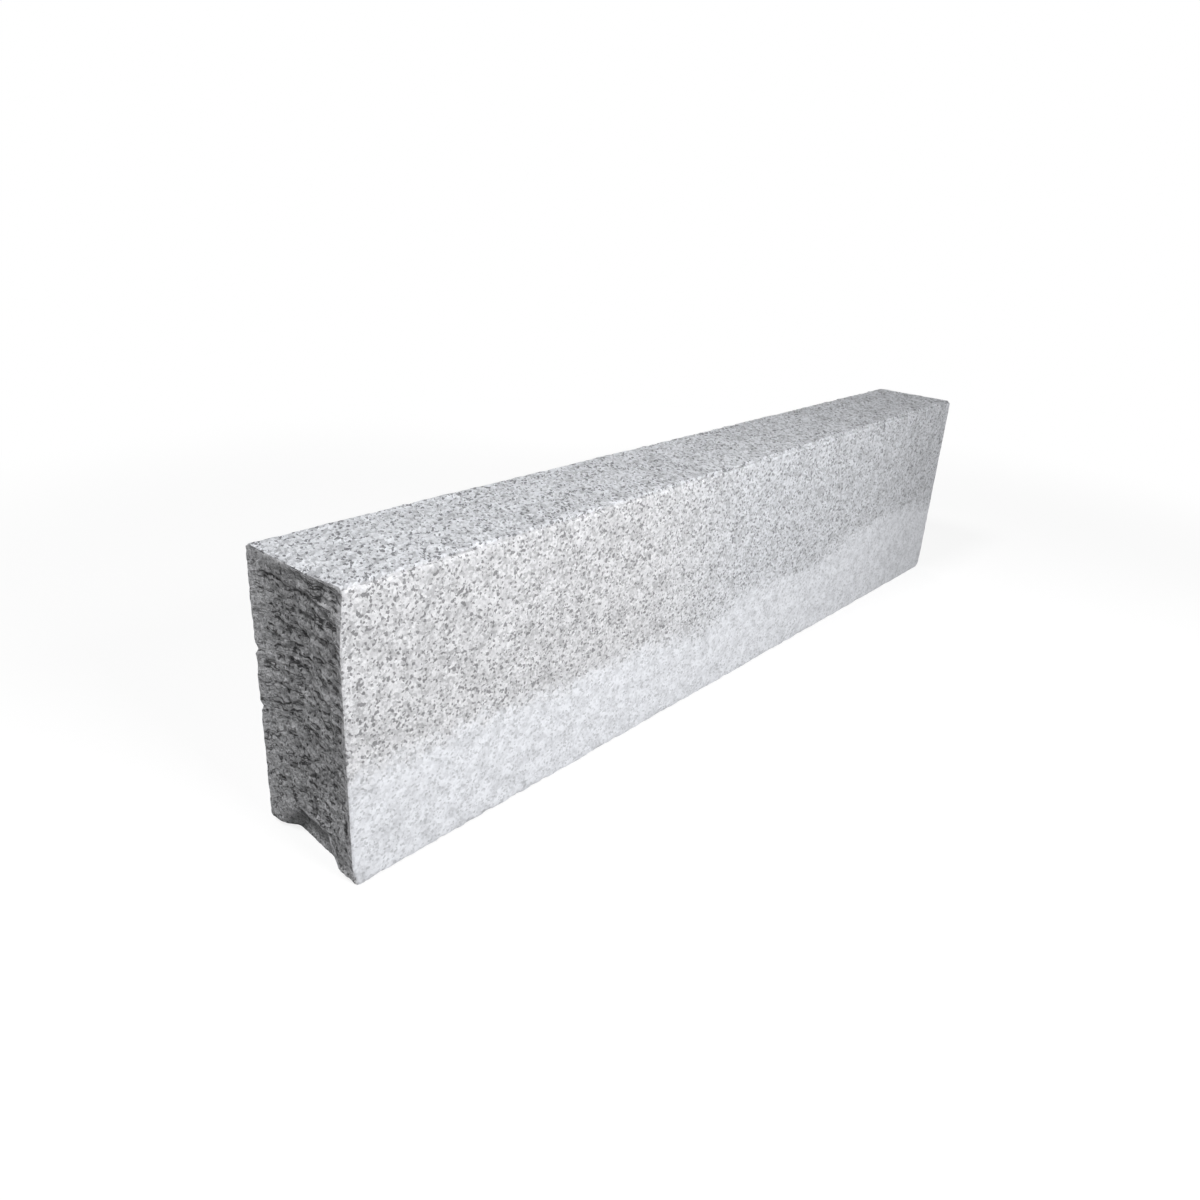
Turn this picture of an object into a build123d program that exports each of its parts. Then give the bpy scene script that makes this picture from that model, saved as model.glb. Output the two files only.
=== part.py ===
from build123d import *
import math
import os

# Granite kerb stone: one block, sawn to its section, split at both ends and hammered where it shows.
# X runs along the kerb from the near end to the far end, Y from the road face to the back and
# Z up from the bed that it stands on. Sizes in millimetres.

# The stone as it is sold
kerb_length = 1000.0
kerb_height = 250.0
kerb_width = 120.0

# Long arrises of the top, pitched off evenly on the road side and wider towards the far end at the back
road_arris = 4.0
back_arris_near = 3.0
back_arris_far = 13.0

# Split ends: how far the near one leans back at the top, and how deep each hollows at most
near_lean = 5.0
near_hollow = 4.0
far_hollow = 3.0

# Scars of the split, each by its middle across and up, its reach across and up, and its depth
near_scar_shares = [
    (0.45, 0.55, 0.40, 0.40, 0.50),
    (0.60, 0.89, 0.36, 0.08, 0.50),
    (0.22, 0.27, 0.18, 0.11, 0.40),
    (0.82, 0.44, 0.16, 0.08, 0.45),
    (0.36, 0.73, 0.22, 0.09, 0.35),
    (0.56, 0.21, 0.26, 0.10, 0.30),
]
far_scar_shares = [
    (0.55, 0.50, 0.42, 0.38, 0.55),
    (0.30, 0.82, 0.26, 0.12, 0.40),
    (0.70, 0.22, 0.28, 0.14, 0.45),
]

# Places across and up at which a split face is worked out
split_columns = 13
split_rows = 25

# Foot edge of the near end, worn along the bed and up the end
wear_depth = 4.0
wear_height = 6.0

# Flake broken out of the near foot: depth along the bed and height up the end, on its back side and on
# its road side, and how far its lip overhangs
flake_back_depth = 13.0
flake_road_depth = 7.5
flake_back_height = 38.0
flake_road_height = 31.0
flake_lip = 4.0

# Side walls of the flake, by where their planes meet the three lines from the middle of the foot edge
# that run in, across and up
back_wall_in = 36.0
back_wall_across = 52.0
back_wall_up = 55.0
road_wall_in = 16.0
road_wall_across = 43.0
road_wall_up = 90.0

# Nicks in the upright back arris of the near end, by their middles up the stone
nick_height = 8.0
nick_depth = 3.0
nick_shares = (0.65, 0.445)

# Corners knocked off the road face: far foot, near foot and near top
far_chip_length = 8.0
far_chip_width = 7.0
far_chip_height = 8.0
foot_chip_length = 4.5
foot_chip_width = 6.0
foot_chip_height = 22.0
top_chip_length = 5.0
top_chip_width = 40.0
top_chip_height = 40.0

# How far every cut runs past the stone
overrun = 10.0

NEAR = -1
FAR = 1
ROAD = -1
BACK = 1


def sawn_block():
    """Block with its top arrises pitched off, longer than the kerb by the overrun at both ends."""
    section = Plane.YZ * Rectangle(kerb_width, kerb_height, align=(Align.CENTER, Align.MIN))
    block = extrude(section, amount=kerb_length / 2 + overrun, both=True)
    top_edges = block.faces().sort_by(Axis.Z).last.edges().filter_by(Axis.X)
    block = chamfer(top_edges.sort_by(Axis.Y).first, road_arris)
    return split(block, bisect_by=back_arris_plane(), keep=Keep.BOTTOM)


def back_arris_plane():
    """Plane along which the back arris is pitched off, facing out."""
    far_edge = (FAR * kerb_length / 2, kerb_width / 2 - back_arris_far, kerb_height)
    growth = (back_arris_far - back_arris_near) / kerb_length
    return Plane(origin=far_edge, z_dir=(growth, 1, 1))


def hollow_share(scar_shares, across_share, up_share):
    """Depth of a split face at one place, as a share of its hollow and nothing along its arrises."""
    fade = (1 - (2 * across_share - 1) ** 4) * (1 - (2 * up_share - 1) ** 4)
    scars = 0
    for across, up, across_reach, up_reach, depth in scar_shares:
        off_across = (across_share - across) / across_reach
        off_up = (up_share - up) / up_reach
        scars += depth * math.exp(-off_across**2 - off_up**2)
    return fade * scars


def spread(length, count):
    """Shares of a length from one overrun before it to one overrun past it."""
    margin = overrun / length
    return [(1 + 2 * margin) * step / (count - 1) - margin for step in range(count)]


def lean_inset(lean, up_share):
    """How far a leaning end is set back at a height, from where its worn foot leaves it farthest out."""
    return lean * (up_share - wear_height / kerb_height)


def split_waste(end, lean, hollow, scar_shares):
    """What the split takes off one end, from its rough face to past the end of the block."""
    rough = []
    for across_share in spread(kerb_width, split_columns):
        line = []
        for up_share in spread(kerb_height, split_rows):
            inset = lean_inset(lean, up_share) + hollow * hollow_share(scar_shares, across_share, up_share)
            x = end * (kerb_length / 2 - inset)
            line.append((x, kerb_width * across_share - kerb_width / 2, kerb_height * up_share))
        rough.append(line)
    face = Face.make_surface_from_array_of_points(rough)
    return extrude(face, amount=lean + hollow + 2 * overrun, dir=(end, 0, 0))


def flake_section(side, reach, depth, height):
    """Half-sunk ellipse across the foot edge, whose cut has the flake's depth and height."""
    lip_share = math.sqrt(1 - (flake_lip / (depth + flake_lip)) ** 2)
    middle = (NEAR * (kerb_length / 2 + flake_lip), side * reach, 0)
    across = Plane(origin=middle, x_dir=(1, 0, 0), z_dir=(0, -1, 0))
    return across * Ellipse(depth + flake_lip, height / lip_share)


def past_wall(cutter, side, reach_in, reach_across, reach_up):
    """Cutter without what lies past a side wall of the flake."""
    foot = (NEAR * kerb_length / 2, side * reach_across, 0)
    outward = (1 / reach_in, side / reach_across, 1 / reach_up)
    return split(cutter, bisect_by=Plane(origin=foot, z_dir=outward), keep=Keep.BOTTOM)


def flake():
    """Cutter of the flake, hollow under its lip and shallower towards the road."""
    back = flake_section(BACK, back_wall_across, flake_back_depth, flake_back_height)
    road = flake_section(ROAD, road_wall_across, flake_road_depth, flake_road_height)
    cutter = past_wall(loft([back, road]), BACK, back_wall_in, back_wall_across, back_wall_up)
    return past_wall(cutter, ROAD, road_wall_in, road_wall_across, road_wall_up)


def nicks():
    """Egg-shaped cutters of the nicks along the upright back arris of the near end."""
    cutters = []
    for up_share in nick_shares:
        x = NEAR * (kerb_length / 2 - lean_inset(near_lean, up_share))
        bite = scale(Sphere(1), by=(nick_depth, nick_depth, nick_height / 2))
        cutters.append(Pos(x, kerb_width / 2, kerb_height * up_share) * bite)
    return cutters


def knocked_off(stone, corner, length, width, height):
    """Stone broken along the plane that meets its edges at these signed distances from a corner."""
    start = (corner[0] + length, corner[1], corner[2])
    outward = (-1 / length, -1 / width, -1 / height)
    return split(stone, bisect_by=Plane(origin=start, z_dir=outward), keep=Keep.BOTTOM)


def without_corners(stone):
    """Stone with its near foot edge worn and three corners of its road face knocked off."""
    near_foot = (NEAR * kerb_length / 2, ROAD * kerb_width / 2, 0)
    far_foot = (FAR * kerb_length / 2, ROAD * kerb_width / 2, 0)
    near_top = (NEAR * (kerb_length / 2 - lean_inset(near_lean, 1)), ROAD * kerb_width / 2, kerb_height)
    stone = knocked_off(stone, near_foot, wear_depth, math.inf, wear_height)
    stone = knocked_off(stone, near_foot, foot_chip_length, foot_chip_width, foot_chip_height)
    stone = knocked_off(stone, near_top, top_chip_length, top_chip_width, -top_chip_height)
    return knocked_off(stone, far_foot, -far_chip_length, far_chip_width, far_chip_height)


def kerb_stone():
    """The whole stone."""
    stone = sawn_block()
    stone -= split_waste(NEAR, near_lean, near_hollow, near_scar_shares)
    stone -= split_waste(FAR, 0, far_hollow, far_scar_shares)
    stone -= flake()
    for nick in nicks():
        stone -= nick
    return without_corners(stone)


os.makedirs("parts", exist_ok=True)
export_step(kerb_stone().solid(), "parts/kerb_stone.step")
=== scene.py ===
"""Studio view of a granite kerb stone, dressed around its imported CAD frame.

The visible stone is one closed mesh. A Geometry Nodes tree presses a gridded block onto the CAD solid and
then works it as a mason does: it hammers the top and the upper road face, leaves the saw's surface on the
foot, the back and the bed, breaks the two ends and bruises the arrises. A solid granite shader follows the
zones that the tree writes on the mesh. Metres throughout, in the CAD frame.
"""

from __future__ import annotations

import logging
import math
from dataclasses import dataclass
from enum import Enum
from typing import Any, Union

import bpy
from mathutils import Matrix, Vector

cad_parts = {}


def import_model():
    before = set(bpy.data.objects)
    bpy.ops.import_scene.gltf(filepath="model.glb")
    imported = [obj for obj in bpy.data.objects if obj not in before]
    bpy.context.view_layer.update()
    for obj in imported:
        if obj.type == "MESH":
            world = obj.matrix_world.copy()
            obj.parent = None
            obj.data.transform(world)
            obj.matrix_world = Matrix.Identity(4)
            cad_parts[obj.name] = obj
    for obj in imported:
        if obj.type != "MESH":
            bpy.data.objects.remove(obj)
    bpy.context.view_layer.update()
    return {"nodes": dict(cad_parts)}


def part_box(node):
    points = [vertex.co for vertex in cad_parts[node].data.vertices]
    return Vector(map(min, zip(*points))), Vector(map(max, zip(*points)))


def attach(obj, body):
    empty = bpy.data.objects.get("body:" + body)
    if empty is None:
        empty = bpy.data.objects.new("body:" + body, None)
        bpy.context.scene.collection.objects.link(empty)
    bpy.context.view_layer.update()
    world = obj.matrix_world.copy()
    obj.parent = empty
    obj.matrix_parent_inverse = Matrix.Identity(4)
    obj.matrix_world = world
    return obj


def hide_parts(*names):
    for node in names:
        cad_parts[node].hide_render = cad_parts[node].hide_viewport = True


LOG = logging.getLogger("kerb")
STONE_NODE = "kerb_stone"
STONE_BODY = "root"
MM = 0.001
WHITE = (1.0, 1.0, 1.0, 1.0)

Colour = tuple[float, float, float]
Place = tuple[float, float, float]
Span = tuple[float, float]
Operand = Union["Link", float]


class Zone(Enum):
    """Values that the stone's tree writes on the mesh for its shader."""

    BLOCK = "block_place"
    DRESSING = "dressing"
    SPLIT = "split"
    # Band along the road face's arrises that the shader darkens with painted shade
    ARRIS_SHADE = "bruise"
    HOLLOW = "hollow"
    FLAKE = "flake"
    LIP = "lip"


class Look(Enum):
    """Values of a finish that the shader blends from zone to zone, by their field names."""

    CONTRAST = "contrast"
    LIFT = "lift"
    SHADOW = "shadow"
    PATCHINESS = "patchiness"
    SPECKLE = "speckle"
    ROUGHNESS = "roughness"


class Link:
    """Output socket of a node that works in Python expressions: each operator adds a Math node."""

    def __init__(self, bench: Bench, socket: bpy.types.NodeSocket) -> None:
        """Wraps one socket of a bench's tree."""
        self.bench = bench
        self.socket = socket

    def __add__(self, other: Operand) -> Link:
        """Sum."""
        return self.bench.math("ADD", self, other)

    def __radd__(self, other: Operand) -> Link:
        """Sum, with the number first."""
        return self.bench.math("ADD", other, self)

    def __sub__(self, other: Operand) -> Link:
        """Difference."""
        return self.bench.math("SUBTRACT", self, other)

    def __rsub__(self, other: Operand) -> Link:
        """Difference, with the number first."""
        return self.bench.math("SUBTRACT", other, self)

    def __mul__(self, other: Operand) -> Link:
        """Product."""
        return self.bench.math("MULTIPLY", self, other)

    def __rmul__(self, other: Operand) -> Link:
        """Product, with the number first."""
        return self.bench.math("MULTIPLY", other, self)

    def __truediv__(self, other: Operand) -> Link:
        """Quotient."""
        return self.bench.math("DIVIDE", self, other)

    def __rtruediv__(self, other: Operand) -> Link:
        """Quotient, with the number first."""
        return self.bench.math("DIVIDE", other, self)

    def __abs__(self) -> Link:
        """Size without sign."""
        return self.bench.math("ABSOLUTE", self)

    def below(self, limit: Operand) -> Link:
        """1 where the value is less than the limit, else 0."""
        return self.bench.math("LESS_THAN", self, limit)

    def above(self, limit: Operand) -> Link:
        """1 where the value is more than the limit, else 0."""
        return self.bench.math("GREATER_THAN", self, limit)

    def least(self, other: Operand) -> Link:
        """The lesser of two values."""
        return self.bench.math("MINIMUM", self, other)

    def most(self, other: Operand) -> Link:
        """The greater of two values."""
        return self.bench.math("MAXIMUM", self, other)

    def floored(self, floor: float) -> Link:
        """A share that runs from a floor to 1 instead of from 0."""
        return floor + (1.0 - floor) * self

    def rise(self, low: Operand, high: Operand) -> Link:
        """Smooth step from 0 at low to 1 at high."""
        settings = {"interpolation_type": "SMOOTHSTEP", "clamp": True}
        return self.bench.link(self.bench.add("ShaderNodeMapRange", settings, {0: self, 1: low, 2: high}))


class Bench:
    """Workbench on which one node tree is put together, for geometry and shaders alike."""

    def __init__(self, tree: bpy.types.NodeTree) -> None:
        """Takes an empty tree."""
        self.tree = tree

    def add(
        self, kind: str, settings: dict[str, Any] | None = None, sockets: dict[Any, Any] | None = None
    ) -> bpy.types.Node:
        """Adds a node.

        Args:
            kind: The node's type.
            settings: Its own properties, which are set first.
            sockets: Values or links of its inputs, by name or number.

        Returns:
            The node.
        """
        node = self.tree.nodes.new(kind)
        for name, value in (settings or {}).items():
            setattr(node, name, value)
        for key, value in (sockets or {}).items():
            self.join(node.inputs[key], value)
        return node

    def join(self, socket: bpy.types.NodeSocket, value: Any) -> None:
        """Links a socket, or sets its value.

        Args:
            socket: An input of a node.
            value: A link, or what the socket holds.
        """
        if isinstance(value, Link):
            self.tree.links.new(value.socket, socket)
        else:
            socket.default_value = value

    def link(self, node: bpy.types.Node, output: Any = 0) -> Link:
        """Wraps one output of a node, by name or number."""
        return Link(self, node.outputs[output])

    def math(self, operation: str, *values: Operand) -> Link:
        """Adds a Math node on one or more values."""
        return self.link(self.add("ShaderNodeMath", {"operation": operation}, dict(enumerate(values))))

    def vector(self, operation: str, *values: Any) -> Link:
        """Adds a Vector Math node on vectors."""
        return self.link(self.add("ShaderNodeVectorMath", {"operation": operation}, dict(enumerate(values))))

    def scaled(self, vector: Link, factor: Operand) -> Link:
        """A vector times a number."""
        node = self.add("ShaderNodeVectorMath", {"operation": "SCALE"}, {0: vector, "Scale": factor})
        return self.link(node)

    def xyz(self, x: Operand, y: Operand, z: Operand) -> Link:
        """A vector from its three parts."""
        return self.link(self.add("ShaderNodeCombineXYZ", None, {0: x, 1: y, 2: z}))

    def parts(self, vector: Link) -> tuple[Link, Link, Link]:
        """The three parts of a vector."""
        node = self.add("ShaderNodeSeparateXYZ", None, {0: vector})
        return self.link(node, 0), self.link(node, 1), self.link(node, 2)

    def noise(
        self, place: Link, size: Operand, detail: float = 2.0, roughness: float = 0.5, output: int = 0
    ) -> Link:
        """Noise about one half, of a size in the unit of the place: a number, or a vector on output 1."""
        sockets = {"Vector": place, "Scale": 1.0 / size, "Detail": detail, "Roughness": roughness}
        return self.link(self.add("ShaderNodeTexNoise", {"noise_dimensions": "3D"}, sockets), output)

    def cells(self, place: Link, size: Operand, feature: str = "F1", flat: bool = False) -> bpy.types.Node:
        """Voronoi cells of a size in the unit of the place, in space or on a plane."""
        settings = {"voronoi_dimensions": "2D" if flat else "3D", "feature": feature}
        return self.add("ShaderNodeTexVoronoi", settings, {"Vector": place, "Scale": 1.0 / size})

    def picks(self, cells: bpy.types.Node) -> tuple[Link, Link, Link]:
        """Three numbers from 0 to 1 that each cell has for itself."""
        return self.parts(self.link(cells, "Color"))

    def blend(self, factor: Operand, first: Operand, second: Operand) -> Link:
        """A number between two others."""
        sockets = {0: factor, 2: first, 3: second}
        return self.link(self.add("ShaderNodeMix", {"data_type": "FLOAT"}, sockets), 0)

    def tint(self, factor: Operand, first: Any, second: Any) -> Link:
        """A colour between two others."""
        sockets = {0: factor, 6: first, 7: second}
        return self.link(self.add("ShaderNodeMix", {"data_type": "RGBA"}, sockets), 2)


class GeometryBench(Bench):
    """Bench of a Geometry Nodes tree, whose named inputs are set on the modifier that runs it."""

    def __init__(self, name: str) -> None:
        """Starts an empty tree with one mesh coming out.

        Args:
            name: The tree's name.
        """
        super().__init__(bpy.data.node_groups.new(name, "GeometryNodeTree"))
        self.tree.interface.new_socket("Mesh", in_out="OUTPUT", socket_type="NodeSocketGeometry")
        self.inlet = self.tree.nodes.new("NodeGroupInput")
        self.outlet = self.tree.nodes.new("NodeGroupOutput")
        self.values: dict[str, Any] = {}

    def given(self, name: str, value: Any, kind: str = "NodeSocketFloat") -> Link:
        """Adds a named input.

        Args:
            name: The input's name.
            value: What the modifier sets it to.
            kind: The socket's type.

        Returns:
            The input, for use in the tree.
        """
        item = self.tree.interface.new_socket(name, in_out="INPUT", socket_type=kind)
        self.values[item.identifier] = value
        return self.link(self.inlet, name)

    def position(self) -> Link:
        """The place of each point as the mesh now is."""
        return self.link(self.add("GeometryNodeInputPosition"))

    def store(self, mesh: Link, zone: Zone, value: Link, domain: str = "POINT", kind: str = "FLOAT") -> Link:
        """Writes a value on the mesh under a zone's name.

        Args:
            mesh: The mesh so far.
            zone: Which name it is kept under.
            value: The value.
            domain: Points or faces.
            kind: A number or a vector.

        Returns:
            The mesh with the value on it.
        """
        settings = {"data_type": kind, "domain": domain}
        sockets = {"Geometry": mesh, "Name": zone.value, "Value": value}
        return self.link(self.add("GeometryNodeStoreNamedAttribute", settings, sockets))

    def stored(self, zone: Zone, kind: str = "FLOAT") -> Link:
        """Reads a value back from the mesh."""
        settings = {"data_type": kind}
        return self.link(self.add("GeometryNodeInputNamedAttribute", settings, {"Name": zone.value}))

    def finish(self, mesh: Link, material: Link, sharp: float) -> None:
        """Shades the mesh smooth but for its sharp edges, and sends it out real and with its material.

        Args:
            mesh: The mesh so far.
            material: Its material.
            sharp: Angle between two faces from which their edge is sharp, in radians.
        """
        smooth = self.link(self.add("GeometryNodeSetShadeSmooth", {"domain": "FACE"}, {"Geometry": mesh}))
        bend = self.link(self.add("GeometryNodeInputMeshEdgeAngle"), "Unsigned Angle")
        sockets = {"Geometry": smooth, "Selection": bend.above(sharp), "Shade Smooth": False}
        edged = self.link(self.add("GeometryNodeSetShadeSmooth", {"domain": "EDGE"}, sockets))
        real = self.link(self.add("GeometryNodeRealizeInstances", None, {"Geometry": edged}))
        dressed = self.add("GeometryNodeSetMaterial", None, {"Geometry": real, "Material": material})
        self.join(self.outlet.inputs[0], self.link(dressed))

    def run(self, name: str) -> bpy.types.Object:
        """Evaluates the tree once and keeps the result as a plain mesh.

        Args:
            name: Name of the piece.

        Returns:
            An object at the origin with no modifier left on it.
        """
        piece = bpy.data.objects.new(name, bpy.data.meshes.new(name))
        bpy.context.scene.collection.objects.link(piece)
        modifier = piece.modifiers.new(self.tree.name, "NODES")
        modifier.node_group = self.tree
        for identifier, value in self.values.items():
            modifier[identifier] = value
        graph = bpy.context.evaluated_depsgraph_get()
        made = bpy.data.meshes.new_from_object(
            piece.evaluated_get(graph), preserve_all_data_layers=True, depsgraph=graph
        )
        piece.modifiers.remove(modifier)
        piece.data = made
        made.name = name
        return piece


@dataclass(frozen=True)
class Finish:
    """Look of one kind of surface, in shares of the stone's own colour.

    Contrast is how far the minerals show through, lift makes the surface paler, and shadow darkens its
    hollows. Patches of one size and finer speckles vary it.
    """

    contrast: float
    lift: float
    shadow: float
    patch: float
    patchiness: float
    speckle: float
    roughness: float


@dataclass(frozen=True)
class HammeredFinish(Finish):
    """Surface left by the bush hammer: close pits over the whole face, deepest on the top.

    Its lower line on the road face is ragged. On the top the blows draw the grain out on the slant.
    """

    contrast: float = 0.66
    lift: float = 0.0
    shadow: float = 0.12
    patch: float = 16.0 * MM
    patchiness: float = 0.8
    speckle: float = 0.55
    roughness: float = 0.85
    pit: float = 6.0 * MM
    pit_span: Span = (0.2, 0.9)
    pit_share: float = 0.4
    rough_per_pit: float = 1.25
    rough_span: Span = (0.3, 0.75)
    depth: float = 0.9 * MM
    top_depth: float = 2.2 * MM
    fade: float = 6.0 * MM
    ragged: float = 18.0 * MM
    ragged_reach: float = 60.0 * MM
    ragged_fade: float = 13.0 * MM
    fine_pit: float = 2.2 * MM
    top_under: Span = (4.0 * MM, 1.5 * MM)
    top_bump: float = 0.6
    top_contrast: float = 0.1
    draw_share: float = 0.3
    drag_share: float = 0.38


@dataclass(frozen=True)
class SawnFinish(Finish):
    """Surface left by the saw: flat and dusty, with the minerals veiled."""

    contrast: float = 0.3
    lift: float = 0.197
    shadow: float = 0.0
    patch: float = 15.0 * MM
    patchiness: float = 1.04
    speckle: float = 0.18
    roughness: float = 0.7
    wave: float = 70.0 * MM
    depth: float = 0.25 * MM
    dust: float = 1.2 * MM
    dust_bump: float = 0.12
    tint: Colour = (0.982, 1.0, 1.018)


@dataclass(frozen=True)
class CrevicePaintedShade:
    """Painted shade of a broken end: cracks along its ripples, holes and bores in its core, and its flake.
    """

    crack: float = 6.5 * MM
    crack_run: float = 22.0 * MM
    crack_level: float = 0.57
    crack_band: float = 0.05
    gape: float = 12.0 * MM
    gape_span: Span = (0.36, 0.56)
    hole: float = 3.4 * MM
    hole_span: Span = (0.55, 0.7)
    hole_floor: float = 0.25
    hole_shade: float = 0.78
    bore: float = 7.0 * MM
    bore_span: Span = (0.1, 0.2)
    bore_share: float = 0.22
    bore_shade: float = 0.9
    core_shade_at_top: float = 0.24
    flake_clear: float = 0.3
    flake_span: Span = (8.0 * MM, 16.0 * MM)
    flake_shade: float = 0.45
    lip_clear: float = 0.6


@dataclass(frozen=True)
class SplitFinish(Finish):
    """Surface left by wedges: ripples about a point under the foot, with a torn and pitted core."""

    contrast: float = 0.5
    lift: float = 0.04
    shadow: float = 0.8
    patch: float = 18.0 * MM
    patchiness: float = 0.3
    speckle: float = 0.6
    roughness: float = 0.92
    ripple: float = 9.0 * MM
    ripple_run: float = 45.0 * MM
    ripple_stray: float = 16.0 * MM
    ripple_share: float = 0.22
    origin_drop: float = 30.0 * MM
    groove_span: Span = (0.62, 1.0)
    groove_share: float = 0.28
    groove_floor: float = 0.45
    pit: float = 8.0 * MM
    pit_span: Span = (0.36, 0.7)
    pit_share: float = 0.5
    pit_floor: float = 0.2
    depth: float = 5.0 * MM
    arris_floor: float = 0.3
    arris_reach: float = 10.0 * MM
    lip_share: float = 0.8
    lip_level: float = 0.2
    back_margin: float = 48.0 * MM
    road_margin: float = 10.0 * MM
    top_margin: float = 22.0 * MM
    top_margin_middle: float = 0.55
    top_margin_least: float = 0.05
    tear: float = 4.0 * MM
    tear_bump: float = 2.0
    streaks_per_ripple: float = 2.5
    streak_bump: float = 1.2
    crevice_painted_shade: CrevicePaintedShade = CrevicePaintedShade()

    def waves(
        self, spot: Link, place: Link, height: float, pitch: Operand, run: Operand, detail: float = 3.0
    ) -> Link:
        """Noise drawn out along the ripples of a broken end.

        Args:
            spot: The place in the noise that makes the ripples stray.
            place: The place on the stone.
            height: The stone's height.
            pitch: Length of a wave across the ripples.
            run: Length of a wave along them.
            detail: How many times finer waves lie on each.

        Returns:
            Noise about one half.
        """
        bench = place.bench
        _, y, z = bench.parts(place)
        stray = (bench.noise(spot, 2.0 * self.ripple_stray) - 0.5) * self.ripple_stray
        drop = z + self.origin_drop
        reach = bench.math("SQRT", y * y + drop * drop) + stray
        turn = bench.math("ARCTAN2", y, drop) * (height / 2)
        return bench.noise(bench.xyz(reach / pitch, turn / run, 0.0), 1.0, detail=detail, roughness=0.55)

    def core(self, place: Link, width: float, height: float) -> Link:
        """Where an end is torn.

        Args:
            place: The place on the stone.
            width: The stone's width.
            height: The stone's height.

        Returns:
            Share of the torn core: none along the upright arrises and the top, whole in the middle.
        """
        _, y, z = place.bench.parts(place)
        across = (width / 2 - y).rise(0.0, self.back_margin) * (width / 2 + y).rise(0.0, self.road_margin)
        lean = (self.top_margin_middle + y / width).most(self.top_margin_least)
        return across * (height - z).rise(0.0, self.top_margin * lean)


@dataclass(frozen=True)
class Granite:
    """The stone itself: its grains, the shares and colours of its minerals, and how they fade far off."""

    grain: float = 2.2 * MM
    grain_per_warp: float = 0.6
    warp_share: float = 0.7
    fleck: float = 1.4 * MM
    clot: float = 3.4 * MM
    speckle: float = 2.4 * MM
    clump: float = 12.0 * MM
    clump_share: float = 0.25
    mica_share: float = 0.1
    quartz_share: float = 0.3
    fleck_share: float = 0.05
    clot_share: float = 0.003
    feldspar_pale: Colour = (0.84, 0.84, 0.86)
    feldspar_dull: Colour = (0.64, 0.64, 0.66)
    quartz: Colour = (0.46, 0.46, 0.475)
    mica: Colour = (0.09, 0.09, 0.095)
    mean: Colour = (0.625, 0.625, 0.642)
    specular: float = 0.3
    patch_cap: float = 0.08
    hollow_middle: float = 0.4
    # Painted shade on the road face's arrises, against the extra light that their bevel catches
    arris_painted_shade: float = 0.2
    least_shade: float = 0.12
    rift_share: float = 0.28
    far_calm: float = 0.2
    far_dust_span: Span = (0.3, 0.55)
    far_shade: float = 0.08
    far_shade_span: Span = (0.8, 0.92)


@dataclass(frozen=True)
class ArrisWear:
    """Chips and bruises of the arrises: more at the near end than at the far one, less on upright ones."""

    depth: float = 1.8 * MM
    reach: float = 4.0 * MM
    middle_share: float = 0.7
    fall: float = 0.4
    even_share: float = 0.35
    chip: float = 11.0 * MM
    chip_span: Span = (0.35, 0.75)
    upright_calm: float = 0.4
    # Width of the band of painted shade along the road face's arrises
    arris_shade_reach: float = 4.0 * MM


@dataclass(frozen=True)
class FlakeMark:
    """How the flake in the solid's near foot is told from the end around it, and how wide its lip is."""

    height: float = 46.0 * MM
    fade_share: float = 0.8
    sunk_span: Span = (2.5 * MM, 5.0 * MM)
    lip_steps: int = 4
    lip_level: float = 0.5


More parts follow.
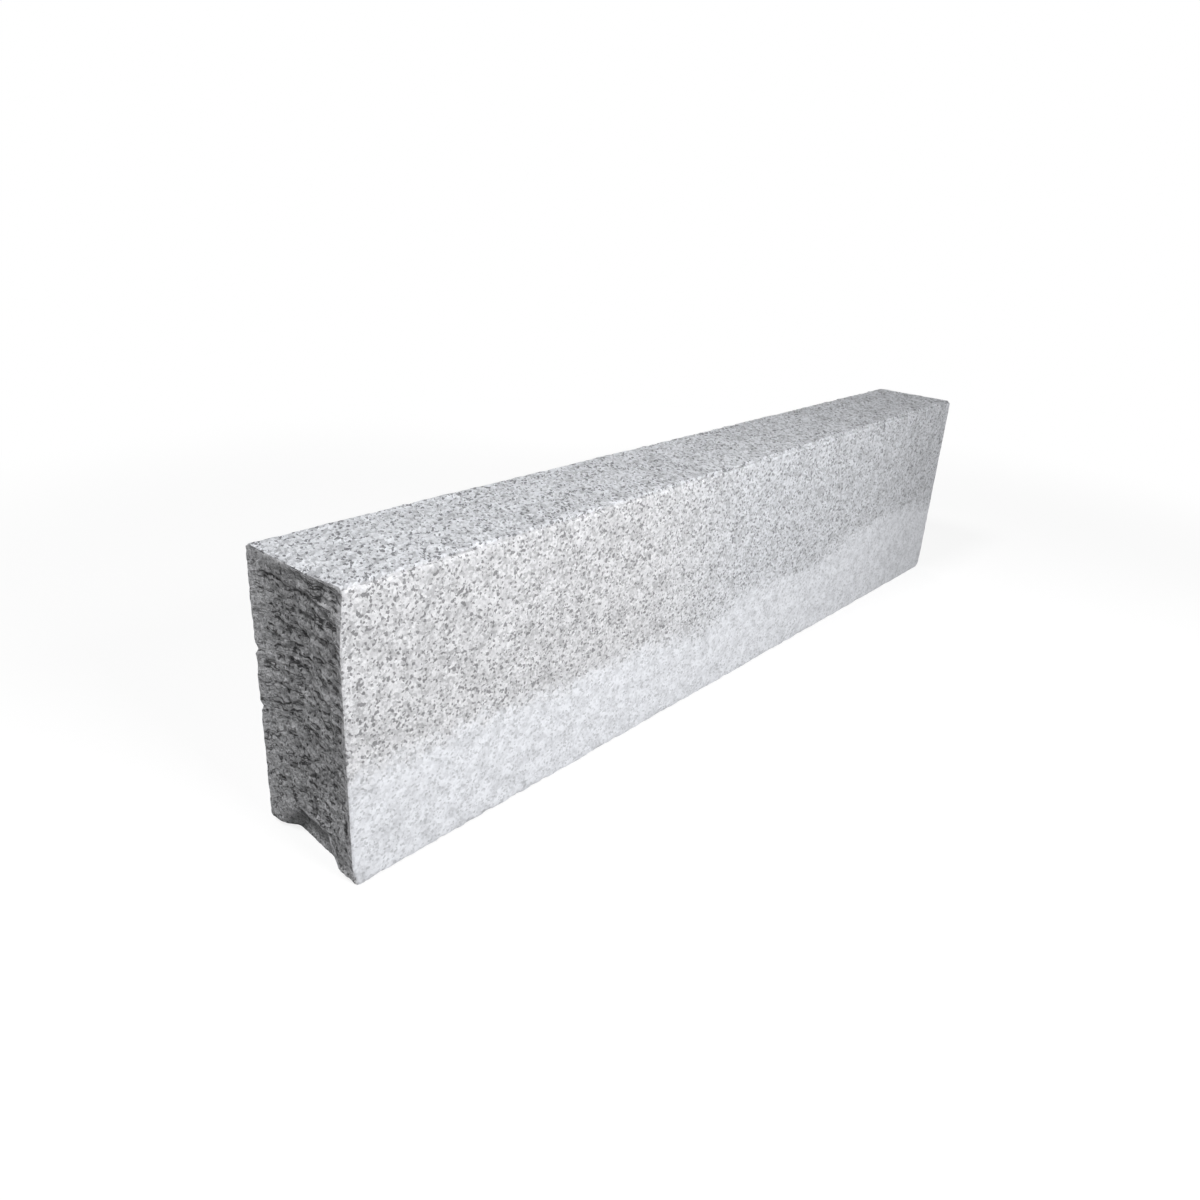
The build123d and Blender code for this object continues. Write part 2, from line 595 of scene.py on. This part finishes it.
@dataclass
class KerbStone:
    """The stone: its sizes, its zones and the tree that makes its skin."""

    low: Vector
    high: Vector
    solid: bpy.types.Object
    road_arris: float = 4.0 * MM
    back_arris_near: float = 3.0 * MM
    back_arris_far: float = 13.0 * MM
    cells_along: int = 250
    cells_across: int = 52
    cells_up: int = 108
    near_closeness: float = 0.35
    ray_inset_share: float = 0.995
    ray_start: float = 50.0 * MM
    line_points: tuple[Span, ...] = (
        (0.0, 0.385), (0.14, 0.385), (0.20, 0.365),
        (0.34, 0.37), (0.43, 0.305), (0.54, 0.39),
        (0.66, 0.345), (0.77, 0.435), (1.0, 0.41),
    )
    sharp_angle: float = 50.0
    hair: float = 0.05 * MM
    seed: float = 3.0
    hammered: HammeredFinish = HammeredFinish()
    sawn: SawnFinish = SawnFinish()
    broken: SplitFinish = SplitFinish()
    granite: Granite = Granite()
    wear: ArrisWear = ArrisWear()
    flake: FlakeMark = FlakeMark()

    @property
    def length(self) -> float:
        """Size along the kerb."""
        return self.high.x - self.low.x

    @property
    def width(self) -> float:
        """Size from the road face to the back."""
        return self.high.y - self.low.y

    @property
    def height(self) -> float:
        """Size from the bed to the top."""
        return self.high.z - self.low.z

    @property
    def finishes(self) -> tuple[Finish, Finish, Finish]:
        """The sawn, the hammered and the split finish."""
        return self.sawn, self.hammered, self.broken

    def build(self) -> bpy.types.Object:
        """Makes the stone's mesh with its material.

        Returns:
            The piece, a plain mesh at the origin.
        """
        bench = GeometryBench("kerb_skin")
        finish = bench.given("Finish", GraniteShader(self).build(), "NodeSocketMaterial")
        mesh = self.gridded_block(bench)
        mesh = self.pressed_on_solid(bench, mesh)
        mesh = self.zoned(bench, mesh)
        mesh = self.worked(bench, mesh)
        bench.finish(mesh, finish, math.radians(self.sharp_angle))
        return bench.run("granite_kerb")

    def gridded_block(self, bench: GeometryBench) -> Link:
        """Makes a block of the stone's size with a grid on every face.

        Args:
            bench: The tree.

        Returns:
            The mesh, with each point's place in the block kept on it.
        """
        sizes = {"Length": self.length, "Width": self.width, "Height": self.height}
        sockets = {"Size": bench.xyz(*(bench.given(name, size) for name, size in sizes.items()))}
        counts = {"along": self.cells_along, "across": self.cells_across, "up": self.cells_up}
        for axis, (way, count) in zip("XYZ", counts.items()):
            sockets[f"Vertices {axis}"] = bench.given(f"Cells {way}", count + 1, "NodeSocketInt")
        block = bench.link(bench.add("GeometryNodeMeshCube", None, sockets))
        stood = bench.vector("ADD", bench.position(), bench.xyz(0.0, 0.0, self.height / 2))
        return bench.store(block, Zone.BLOCK, stood, kind="FLOAT_VECTOR")

    def in_block(self, bench: GeometryBench) -> tuple[Link, Link, Link]:
        """A point's place along, across and up in the block."""
        return bench.parts(bench.stored(Zone.BLOCK, "FLOAT_VECTOR"))

    def at_end(self, x: Link) -> Link:
        """1 on the block's two ends, else 0."""
        return abs(x).above(self.length / 2 - self.hair)

    def pressed_on_solid(self, bench: GeometryBench, mesh: Link) -> Link:
        """Moves the block's points onto the CAD solid.

        The section gets its arrises, and each line along the stone is then stretched between the places
        where it meets the two ends of the solid.

        Args:
            bench: The tree.
            mesh: The gridded block.

        Returns:
            The mesh in the solid's shape.
        """
        x, y, z = self.in_block(bench)
        share = x / self.length + 0.5
        share = share - bench.given("Closeness at the near end", self.near_closeness) * share * (1.0 - share)
        road = bench.given("Road arris", self.road_arris)
        sockets = {"Object": bench.given("CAD solid", self.solid, "NodeSocketObject")}
        info = bench.add("GeometryNodeObjectInfo", {"transform_space": "ORIGINAL"}, sockets)
        solid = bench.link(info, "Geometry")
        near_spot = self.in_section(y, z, road, self.back_arris_near)
        near = self.end_place(bench, solid, self.low.x, *near_spot, 1.0)
        far_spot = self.in_section(y, z, road, self.back_arris_far)
        far = self.end_place(bench, solid, self.high.x, *far_spot, -1.0)
        across, up = self.in_section(y, z, road, self.back_arris(bench, share))
        place = bench.xyz(bench.blend(share, near, far), across, up)
        return bench.link(bench.add("GeometryNodeSetPosition", None, {"Geometry": mesh, "Position": place}))

    def back_arris(self, bench: GeometryBench, along: Link) -> Link:
        """Width of the back arris at a share of the stone's length."""
        return bench.blend(along, self.back_arris_near, self.back_arris_far)

    def in_section(self, y: Link, z: Link, road: Link, back: Operand) -> tuple[Link, Link]:
        """Takes a point of the block's section onto the section with its two arrises.

        Args:
            y: The point's place across.
            z: The point's place up.
            road: Width of the road arris.
            back: Width of the back arris.

        Returns:
            The point's new place across and up.
        """
        under_top = self.height - z
        road_cut = self.arris_cut(road, y + self.width / 2, under_top)
        back_cut = self.arris_cut(back, self.width / 2 - y, under_top)
        return y + road_cut - back_cut, z - road_cut - back_cut

    def arris_cut(self, arris: Operand, from_side: Link, under_top: Link) -> Link:
        """How far a point moves in and down for an arris, less the deeper it lies in the section.

        Args:
            arris: Width of the arris on both of its faces.
            from_side: The point's distance from the side face.
            under_top: Its distance from the top.

        Returns:
            The distance, which takes the points on the two faces onto the arris.
        """
        on_face = ((arris - abs(from_side - under_top)) / 2.0).most(0.0)
        depth = from_side.least(under_top)
        return on_face * (1.0 - depth / (2.0 * arris)).most(0.0)

    def end_place(
        self, bench: GeometryBench, solid: Link, end: float, y: Link, z: Link, inward: float
    ) -> Link:
        """Where a line along the stone meets one end of the solid.

        Args:
            bench: The tree.
            solid: The CAD solid.
            end: The end's place along the stone.
            y: The line's place across.
            z: The line's place up.
            inward: Direction into the stone, 1 or -1.

        Returns:
            The place along the stone.
        """
        middle = self.height / 2
        inset = bench.xyz(
            end - inward * self.ray_start,
            y * self.ray_inset_share,
            (z - middle) * self.ray_inset_share + middle,
        )
        sockets = {
            "Target Geometry": solid,
            "Source Position": inset,
            "Ray Direction": (inward, 0.0, 0.0),
            "Ray Length": self.length,
        }
        ray = bench.add("GeometryNodeRaycast", None, sockets)
        met = bench.parts(bench.link(ray, "Hit Position"))[0]
        return bench.blend(bench.link(ray, "Is Hit"), end, met)

    def zoned(self, bench: GeometryBench, mesh: Link) -> Link:
        """Writes the zones on the mesh.

        They are the height above the hammer's lower line, the faces that were split, the band along the
        arrises of the road face that gets painted shade, and the flake with its lip.

        Args:
            bench: The tree.
            mesh: The mesh in the solid's shape.

        Returns:
            The mesh with its zones.
        """
        x, y, z = self.in_block(bench)
        along = bench.parts(bench.position())[0]
        share = along / self.length + 0.5
        line = self.dressing_line(bench, share) * self.height
        back = y.above(self.width / 2 - self.hair) * z.below(self.height - self.back_arris(bench, share))
        mesh = bench.store(mesh, Zone.DRESSING, z - line - back * self.height)
        mesh = bench.store(mesh, Zone.SPLIT, self.at_end(x), "FACE")
        from_edge = (self.height - z).least(x + self.length / 2).most(y + self.width / 2)
        # Band along the road face's arrises, for painted shade in the shader
        mesh = bench.store(mesh, Zone.ARRIS_SHADE, 1.0 - from_edge.rise(0.0, self.wear.arris_shade_reach))
        mark = self.flake
        sunk = (along - self.low.x).rise(*mark.sunk_span) * x.below(self.hair - self.length / 2)
        flake = sunk * (1.0 - z.rise(mark.fade_share * mark.height, mark.height))
        mesh = bench.store(mesh, Zone.FLAKE, flake)
        sockets = {"Value": flake, "Iterations": mark.lip_steps}
        spread = bench.link(bench.add("GeometryNodeBlurAttribute", {"data_type": "FLOAT"}, sockets))
        return bench.store(mesh, Zone.LIP, spread.rise(0.0, mark.lip_level))

    def dressing_line(self, bench: GeometryBench, along: Link) -> Link:
        """Line under the hammered part of the road face.

        Args:
            bench: The tree.
            along: Share of the stone's length.

        Returns:
            The line's height there, as a share of the stone's height.
        """
        node = bench.add("ShaderNodeFloatCurve", None, {"Value": along})
        points = node.mapping.curves[0].points
        for place in self.line_points[2:]:
            points.new(*place)
        for point, place in zip(points, self.line_points):
            point.location = place
        node.mapping.update()
        return bench.link(node)

    def from_arris(self, bench: GeometryBench) -> Link:
        """Distance from the nearest arris of the block.

        Args:
            bench: The tree.

        Returns:
            The middle one of the distances from the block's nearest faces along, across and up.
        """
        x, y, z = self.in_block(bench)
        along = self.length / 2 - abs(x)
        across = self.width / 2 - abs(y)
        up = z.least(self.height - z)
        return along.least(across).most(along.most(across).least(up))

    def worked(self, bench: GeometryBench, mesh: Link) -> Link:
        """Sinks every point by the relief of its zone and by the wear of its arris.

        Args:
            bench: The tree.
            mesh: The mesh in the solid's shape, with its zones.

        Returns:
            The mesh with its relief, and with the share of its hollows kept on it.
        """
        seed = bench.given("Seed", self.seed)
        place = bench.position()
        spot = bench.vector("ADD", place, bench.xyz(seed, seed, seed))
        x, y, z = self.in_block(bench)
        at_end = self.at_end(x)
        from_arris = self.from_arris(bench)
        hammered = bench.stored(Zone.DRESSING).rise(-self.hammered.fade, self.hammered.fade)
        pits = self.hammer_share(bench, spot)
        calm = self.broken.lip_share * bench.stored(Zone.LIP)
        torn = bench.blend(calm, self.split_share(bench, place, spot), self.broken.lip_level)
        mesh = bench.store(mesh, Zone.HOLLOW, bench.blend(at_end, hammered * pits, torn))
        on_top = z.above(self.height - self.hair) * (self.width / 2 - y).rise(0.0, self.back_arris_far)
        hammer_depth = bench.given("Hammer depth", self.hammered.depth)
        struck = pits * bench.blend(on_top, hammer_depth, self.hammered.top_depth)
        flat = bench.blend(hammered, self.saw_relief(bench, spot), struck)
        split_depth = torn * bench.given("Split depth", self.broken.depth)
        inside = from_arris.rise(0.0, self.broken.arris_reach)
        broken = split_depth * inside.floored(self.broken.arris_floor)
        worn = self.arris_wear(bench, spot) * (1.0 - from_arris.rise(0.0, self.wear.reach))
        depth = bench.blend(at_end, flat, broken) + worn
        normal = bench.link(bench.add("GeometryNodeInputNormal"))
        sockets = {"Geometry": mesh, "Offset": bench.scaled(normal, -1.0 * depth)}
        return bench.link(bench.add("GeometryNodeSetPosition", None, sockets))

    def hammer_share(self, bench: GeometryBench, spot: Link) -> Link:
        """How far down a point is in the bush hammer's pits.

        Args:
            bench: The tree.
            spot: The place in the noise.

        Returns:
            A share from 0 to 1.
        """
        finish = self.hammered
        size = bench.given("Hammer pit", finish.pit)
        pits = 1.0 - bench.link(bench.cells(spot, size, "SMOOTH_F1"), "Distance")
        rough = bench.noise(spot, size * finish.rough_per_pit, detail=3.0, roughness=0.6)
        struck = finish.pit_share * pits.rise(*finish.pit_span)
        return struck + (1.0 - finish.pit_share) * rough.rise(*finish.rough_span)

    def saw_relief(self, bench: GeometryBench, spot: Link) -> Link:
        """Depth of the slight waves that the saw leaves."""
        depth = bench.given("Saw depth", self.sawn.depth)
        return depth * bench.noise(spot, bench.given("Saw wave", self.sawn.wave))

    def split_share(self, bench: GeometryBench, place: Link, spot: Link) -> Link:
        """How far down a point is in a broken end: in its grooved ripples and, in its core, its pits.

        Args:
            bench: The tree.
            place: The place on the stone.
            spot: The place in the noise.

        Returns:
            A share from 0 to 1.
        """
        finish = self.broken
        ripple = bench.given("Split ripple", finish.ripple)
        run = bench.given("Split ripple run", finish.ripple_run)
        waves = finish.waves(spot, place, self.height, ripple, run)
        grooves = (1.0 - abs(2.0 * waves - 1.0)).rise(*finish.groove_span)
        core = finish.core(place, self.width, self.height)
        pits = bench.noise(spot, bench.given("Split pit", finish.pit), detail=3.0, roughness=0.6)
        grooved = finish.groove_share * grooves * core.floored(finish.groove_floor)
        pitted = finish.pit_share * pits.rise(*finish.pit_span) * core.floored(finish.pit_floor)
        return finish.ripple_share * waves + grooved + pitted

    def arris_wear(self, bench: GeometryBench, spot: Link) -> Link:
        """Depth of the chips and bruises along the arrises.

        Args:
            bench: The tree.
            spot: The place in the noise.

        Returns:
            The depth on the arris itself.
        """
        x, y, z = self.in_block(bench)
        wear = self.wear
        chips = bench.noise(spot, wear.chip, detail=3.0, roughness=0.6).rise(*wear.chip_span)
        beside = (self.length / 2 - abs(x)).most(self.width / 2 - abs(y))
        upright = beside.below(z.least(self.height - z))
        depth = bench.given("Arris wear", wear.depth) * (wear.middle_share - wear.fall * x / self.length)
        return depth * (wear.even_share * (1.0 - upright) + chips * (1.0 - wear.upright_calm * upright))


def bare_material(name: str) -> bpy.types.Material:
    """Makes a material with no nodes in its tree.

    Args:
        name: The material's name.

    Returns:
        The material.
    """
    material = bpy.data.materials.new(name)
    material.use_nodes = True
    material.node_tree.nodes.clear()
    return material


class GraniteShader:
    """Solid granite in Object coordinates, with the finish of each zone on it."""

    def __init__(self, stone: KerbStone) -> None:
        """Starts the material with what its colour, roughness and bump share.

        Args:
            stone: The stone that gets it.
        """
        self.stone = stone
        self.material = bare_material("granite_finish")
        self.bench = Bench(self.material.node_tree)
        self.coords = self.bench.link(self.bench.add("ShaderNodeTexCoord"), "Object")
        self.x, self.y, self.z = self.bench.parts(self.coords)
        low, high = (stone.height - under for under in stone.hammered.top_under)
        self.on_top = self.z.rise(low, high)
        self.hammered = self.hammered_share()
        self.split = self.written(Zone.SPLIT)

    def build(self) -> bpy.types.Material:
        """Makes the material.

        Returns:
            The material, with colour, roughness and bump from its nodes.
        """
        sockets = {
            "Base Color": self.colour(),
            "Roughness": self.look(Look.ROUGHNESS),
            "Specular IOR Level": self.stone.granite.specular,
            "Normal": self.normal(),
        }
        shader = self.bench.link(self.bench.add("ShaderNodeBsdfPrincipled", None, sockets))
        self.bench.add("ShaderNodeOutputMaterial", None, {"Surface": shader})
        return self.material

    def written(self, zone: Zone) -> Link:
        """A value that the stone's tree wrote on the mesh."""
        return self.bench.link(self.bench.add("ShaderNodeAttribute", {"attribute_name": zone.value}), "Fac")

    def hammered_share(self) -> Link:
        """Where a face was hammered.

        Returns:
            A share from 0 to 1, with a ragged lower line on the road face.
        """
        finish = self.stone.hammered
        ragged = self.bench.noise(self.coords, finish.ragged, detail=5.0, roughness=0.75) - 0.5
        over_line = self.written(Zone.DRESSING) + ragged * finish.ragged_reach
        return over_line.rise(-finish.ragged_fade, finish.ragged_fade)

    def by_zone(self, sawn: Operand, hammered: Operand, broken: Operand) -> Link:
        """A value over the surface, from those of its three zones."""
        return self.bench.blend(self.split, self.bench.blend(self.hammered, sawn, hammered), broken)

    def look(self, look: Look) -> Link:
        """A value of the finishes over the surface."""
        return self.by_zone(*(getattr(finish, look.value) for finish in self.stone.finishes))

    def drawn_grain(self) -> Link:
        """Place in the grain, which is drawn out on the slant across the top and lengthens to the far end.

        Returns:
            The place, with ragged borders between the grains.
        """
        bench, stone, granite = self.bench, self.stone, self.stone.granite
        struck = (self.y + stone.width / 2) * self.on_top
        gone = self.x + stone.length / 2
        along = self.x - gone * gone * (granite.rift_share / (2.0 * stone.length))
        across = self.y - stone.hammered.draw_share * struck
        drawn = bench.xyz(along - stone.hammered.drag_share * struck, across, self.z)
        warp = bench.noise(drawn, granite.grain / granite.grain_per_warp, output=1)
        warp = bench.vector("SUBTRACT", warp, (0.5, 0.5, 0.5))
        return bench.vector("ADD", drawn, bench.scaled(warp, granite.warp_share * granite.grain))

    def minerals(self) -> Link:
        """Colour of the grains: pale and dull feldspar, grey quartz and dark mica.

        Returns:
            The colour.
        """
        bench, granite = self.bench, self.stone.granite
        spot = self.drawn_grain()
        pick, tone, _ = bench.picks(bench.cells(spot, granite.grain))
        clumps = bench.noise(spot, granite.clump) - 0.5
        colour = bench.tint(tone, (*granite.feldspar_dull, 1.0), (*granite.feldspar_pale, 1.0))
        quartz = pick.below(granite.mica_share + granite.quartz_share)
        colour = bench.tint(quartz, colour, (*granite.quartz, 1.0))
        mica = (pick + granite.clump_share * clumps).below(granite.mica_share)
        flecks = bench.picks(bench.cells(spot, granite.fleck))[0]
        clots = bench.picks(bench.cells(spot, granite.clot))[0]
        dark = mica.most(flecks.below(granite.fleck_share)).most(clots.below(granite.clot_share))
        return bench.tint(dark, colour, (*granite.mica, 1.0))

    def colour(self) -> Link:
        """Colour of the stone in each zone.

        Returns:
            The colour: minerals veiled as the finish does, with painted shade in its hollows and along the
                road face's arrises.
        """
        bench, stone, granite = self.bench, self.stone, self.stone.granite
        gone = self.x / stone.length + 0.5
        calm = 1.0 - granite.far_calm * gone * gone
        contrast = self.look(Look.CONTRAST) + stone.hammered.top_contrast * self.on_top
        veiled = bench.tint(contrast * calm, (*granite.mean, 1.0), self.minerals())
        dusty = bench.vector("MULTIPLY", veiled, stone.sawn.tint)
        bare = self.hammered * (1.0 - self.on_top) * (1.0 - gone.rise(*granite.far_dust_span))
        veiled = bench.tint(bare.most(self.split), dusty, veiled)
        # Painted shade along the road face's arrises
        bruise = self.written(Zone.ARRIS_SHADE) * (1.0 - self.split)
        shadow = self.look(Look.SHADOW) * (self.written(Zone.HOLLOW) - granite.hollow_middle)
        shade = 1.0 + self.look(Look.LIFT) - granite.arris_painted_shade * bruise - shadow
        shade = shade - granite.far_shade * gone.rise(*granite.far_shade_span) * (1.0 - self.on_top)
        shade = shade + calm * self.mottling() - self.split * self.crevice_painted_shade()
        return bench.scaled(veiled, shade.most(granite.least_shade))

    def mottling(self) -> Link:
        """Light and dark of each finish about its mean.

        Returns:
            The sum of wide patches, which are darker than they are light, and of speckles.
        """
        patches = self.by_zone(*(self.patches(finish) for finish in self.stone.finishes))
        speckles = self.bench.noise(self.coords, self.stone.granite.speckle, roughness=0.7) - 0.5
        return self.look(Look.PATCHINESS) * patches + self.look(Look.SPECKLE) * speckles

    def patches(self, finish: Finish) -> Link:
        """Light and dark of a finish's patches."""
        tone = self.bench.noise(self.coords, finish.patch, detail=3.0, roughness=0.6) - 0.5
        return tone.least(self.stone.granite.patch_cap)

    def crevice_painted_shade(self) -> Link:
        """Painted shade of a broken end.

        Returns:
            The painted shade in the thin cracks along the ripples, in the holes and bores of the core, more
            towards the top of the core, and in the flake's hollow under its lip, less a painted highlight on
            its lip.
        """
        bench, stone, broken = self.bench, self.stone, self.stone.broken
        shade_marks = broken.crevice_painted_shade
        # Painted shade in the cracks, holes and bores, more in the core towards its top
        waves = broken.waves(self.coords, self.coords, stone.height, shade_marks.crack, shade_marks.crack_run, 2.0)
        gaping = bench.noise(self.coords, shade_marks.gape, roughness=0.6).rise(*shade_marks.gape_span)
        cracks = (1.0 - abs(waves - shade_marks.crack_level) / shade_marks.crack_band).most(0.0) * gaping
        holes = bench.noise(self.coords, shade_marks.hole, detail=3.0, roughness=0.6).rise(*shade_marks.hole_span)
        core = broken.core(self.coords, stone.width, stone.height)
        dark = cracks + shade_marks.hole_shade * holes * core.floored(shade_marks.hole_floor)
        dark = dark + shade_marks.core_shade_at_top * core * (self.z / stone.height)
        bores = bench.cells(bench.xyz(self.y, self.z, 0.0), shade_marks.bore, flat=True)
        picked = bench.picks(bores)[0].below(shade_marks.bore_share)
        bored = (1.0 - bench.link(bores, "Distance").rise(*shade_marks.bore_span)) * picked
        dark = dark + shade_marks.bore_shade * bored * core
        # Painted shadow in the flake's hollow under its lip, and a painted highlight on the lip itself
        flaked = self.written(Zone.FLAKE)
        lip = self.written(Zone.LIP) * (1.0 - flaked)
        dark = dark * (1.0 - shade_marks.flake_clear * flaked - shade_marks.lip_clear * lip).most(0.0)
        return dark + shade_marks.flake_shade * flaked * self.z.rise(*shade_marks.flake_span) - lip

    def normal(self) -> Link:
        """Normal under the relief that is finer than the mesh.

        Returns:
            The bumped normal.
        """
        bench, stone, broken = self.bench, self.stone, self.stone.broken
        pits = bench.noise(self.coords, stone.hammered.fine_pit, detail=3.0, roughness=0.65)
        dust = bench.noise(self.coords, stone.sawn.dust, detail=1.0)
        torn = bench.noise(self.coords, broken.tear, detail=4.0, roughness=0.65)
        pitch, run = (size / broken.streaks_per_ripple for size in (broken.ripple, broken.ripple_run))
        streaks = broken.waves(self.coords, self.coords, stone.height, pitch, run)
        struck = pits * (1.0 + stone.hammered.top_bump * self.on_top)
        split = broken.tear_bump * torn + broken.streak_bump * streaks
        height = self.by_zone(stone.sawn.dust_bump * dust, struck, split)
        sockets = {"Strength": 1.0, "Distance": MM, "Height": height}
        return bench.link(bench.add("ShaderNodeBump", None, sockets))


@dataclass(frozen=True)
class Lamp:
    """Soft square lamp that the eye doesn't see."""

    name: str
    place: Place
    aim: Place
    size: float
    watts: float

    def build(self) -> None:
        """Hangs the lamp."""
        light = bpy.data.lights.new(self.name, "AREA")
        light.shape = "SQUARE"
        light.size = self.size
        light.energy = self.watts
        lamp = bpy.data.objects.new(self.name, light)
        lamp.location = self.place
        lamp.rotation_euler = (Vector(self.aim) - Vector(self.place)).to_track_quat("-Z", "Y").to_euler()
        lamp.visible_camera = False
        bpy.context.scene.collection.objects.link(lamp)


@dataclass
class Studio:
    """Pale floor, soft lamps and the photograph's camera."""

    eye: Place = (-0.7983, -0.5572, 0.5002)
    azimuth: float = -48.889
    elevation: float = 24.086
    roll: float = 2.810
    focal_mm: float = 27.591
    sensor_mm: float = 36.0
    sky_level: float = 0.05
    floor_size: float = 40.0
    floor_colour: Colour = (0.2, 0.2, 0.2)
    floor_glow: float = 0.84
    floor_fade: Span = (0.8, 1.4)
    lamps: tuple[Lamp, ...] = (
        Lamp("key", place=(-0.27, -1.27, 0.75), aim=(-0.2, 0.0, 0.15), size=0.5, watts=20.4),
        Lamp("side", place=(-1.22, 0.17, 2.03), aim=(-0.5, 0.0, 0.15), size=0.4, watts=25.8),
        Lamp("back", place=(1.3, 1.3, 0.26), aim=(0.1, 0.0, 0.15), size=0.4, watts=15.0),
    )

    def build(self) -> None:
        """Makes the sky, the floor, the lamps and the camera."""
        self.sky()
        self.floor()
        for lamp in self.lamps:
            lamp.build()
        self.camera()

    def seen(self, bench: Bench) -> Link:
        """Which rays come from the eye.

        Args:
            bench: A shader's tree.

        Returns:
            1 on rays straight from the eye, off a mirror or through glass, else 0.
        """
        path = bench.add("ShaderNodeLightPath")
        straight = bench.link(path, "Is Camera Ray")
        mirrored = bench.link(path, "Is Glossy Ray")
        return straight.most(mirrored).most(bench.link(path, "Is Transmission Ray"))

    def sky(self) -> None:
        """World that is white to the eye and a soft even light to the stone."""
        world = bpy.data.worlds.new("studio_sky")
        bpy.context.scene.world = world
        world.use_nodes = True
        world.node_tree.nodes.clear()
        bench = Bench(world.node_tree)
        strength = bench.blend(self.seen(bench), self.sky_level, 1.0)
        back = bench.add("ShaderNodeBackground", None, {"Color": WHITE, "Strength": strength})
        bench.add("ShaderNodeOutputWorld", None, {"Surface": bench.link(back)})

    def floor(self) -> None:
        """Wide pale floor, as part of the stage."""
        half = self.floor_size / 2
        mesh = bpy.data.meshes.new("floor")
        corners = [(-half, -half, 0.0), (half, -half, 0.0), (half, half, 0.0), (-half, half, 0.0)]
        mesh.from_pydata(corners, [], [(0, 1, 2, 3)])
        mesh.materials.append(self.floor_paint())
        floor = bpy.data.objects.new("floor", mesh)
        bpy.context.scene.collection.objects.link(floor)

    def floor_paint(self) -> bpy.types.Material:
        """Paint that the eye sees as white but for the stone's shadow.

        Returns:
            The material: plain paint that glows near the stone and is white farther off.
        """
        material = bare_material("floor_paint")
        bench = Bench(material.node_tree)
        coords = bench.link(bench.add("ShaderNodeTexCoord"), "Object")
        away = bench.link(bench.add("ShaderNodeVectorMath", {"operation": "LENGTH"}, {0: coords}), "Value")
        paint = bench.link(bench.add("ShaderNodeBsdfDiffuse", None, {"Color": (*self.floor_colour, 1.0)}))
        white, glow = (
            bench.link(bench.add("ShaderNodeEmission", None, {"Color": WHITE, "Strength": strength}))
            for strength in (1.0, self.floor_glow)
        )
        near = bench.link(bench.add("ShaderNodeAddShader", None, {0: paint, 1: glow}))
        far_off = away.rise(*self.floor_fade)
        shown = bench.link(bench.add("ShaderNodeMixShader", None, {0: far_off, 1: near, 2: white}))
        both = bench.link(bench.add("ShaderNodeMixShader", None, {0: self.seen(bench), 1: paint, 2: shown}))
        bench.add("ShaderNodeOutputMaterial", None, {"Surface": both})
        return material

    def camera(self) -> None:
        """Camera at the photograph's place, turn and focal length."""
        turn, lift, roll = (math.radians(angle) for angle in (self.azimuth, self.elevation, self.roll))
        back = Vector((math.sin(turn) * math.cos(lift), -math.cos(turn) * math.cos(lift), math.sin(lift)))
        level = Vector((0.0, 0.0, 1.0)).cross(back).normalized()
        upright = back.cross(level)
        right = level * math.cos(roll) + upright * math.sin(roll)
        up = upright * math.cos(roll) - level * math.sin(roll)
        data = bpy.data.cameras.new("camera")
        data.sensor_width = self.sensor_mm
        data.lens = self.focal_mm
        camera = bpy.data.objects.new("camera", data)
        turned = Matrix((right, up, back)).transposed().to_4x4()
        camera.matrix_world = Matrix.Translation(Vector(self.eye)) @ turned
        bpy.context.scene.collection.objects.link(camera)
        bpy.context.scene.camera = camera


def main() -> None:
    """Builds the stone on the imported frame, then the studio."""
    logging.basicConfig(level=logging.INFO, format="%(name)s: %(message)s")
    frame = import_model()
    bpy.context.scene.view_settings.view_transform = "Standard"
    stone = KerbStone(*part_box(STONE_NODE), solid=frame["nodes"][STONE_NODE])
    piece = stone.build()
    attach(piece, STONE_BODY)
    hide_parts(STONE_NODE)
    triangles = sum(len(face.vertices) - 2 for face in piece.data.polygons)
    LOG.info("%s: %d points, %d triangles", piece.name, len(piece.data.vertices), triangles)
    Studio().build()


if __name__ == "__main__":
    main()
